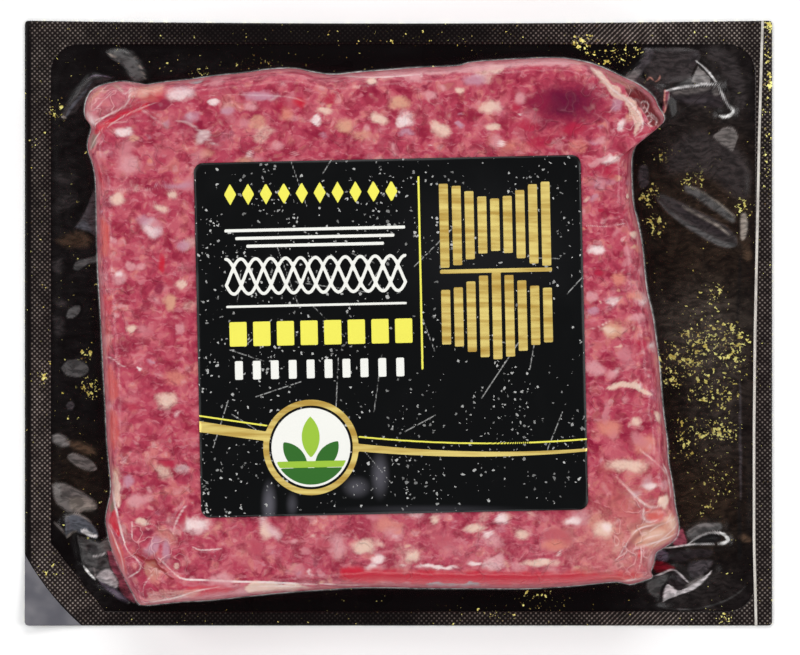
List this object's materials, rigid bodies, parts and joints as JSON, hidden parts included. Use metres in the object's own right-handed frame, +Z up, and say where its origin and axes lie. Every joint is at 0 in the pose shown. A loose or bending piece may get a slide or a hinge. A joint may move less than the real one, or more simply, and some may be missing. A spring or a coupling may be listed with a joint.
{
  "type": "vacuum pack of minced meat",
  "caption": "Flat shut vacuum pack of minced meat: a dark backing web, clear film drawn tight over the slab with folds at its corners, a weld round the edge, a peel corner and a label.",
  "frame": {"origin": "middle of the outline at the underside of the backing web", "axes": "+Z up through the pack as it lies on its back, +X along the long edge towards the label's right side, +Y along the short edge towards the label's top"},
  "size_m": [0.21, 0.17, 0.0245],
  "materials": {
    "backing_print": "glossy black printed web with small gold and yellow specks",
    "sealed_film": "fine diagonal knurl of the weld over the black web",
    "loose_film": "unwelded grey shiny film corner",
    "drawn_film": "clear glossy film lying tight on the black web, with pulled folds",
    "mince": "red minced meat with pale fat under tight clear film",
    "label_print": "black printed label with gold and pale bars and a round badge"
  },
  "bodies": {
    "root": {"backing_web": "backing_print", "seal_band": "sealed_film", "peel_flap": "loose_film", "film_skirt": "drawn_film", "mince_slab": "mince", "label": "label_print"}
  },
  "joints": []
}
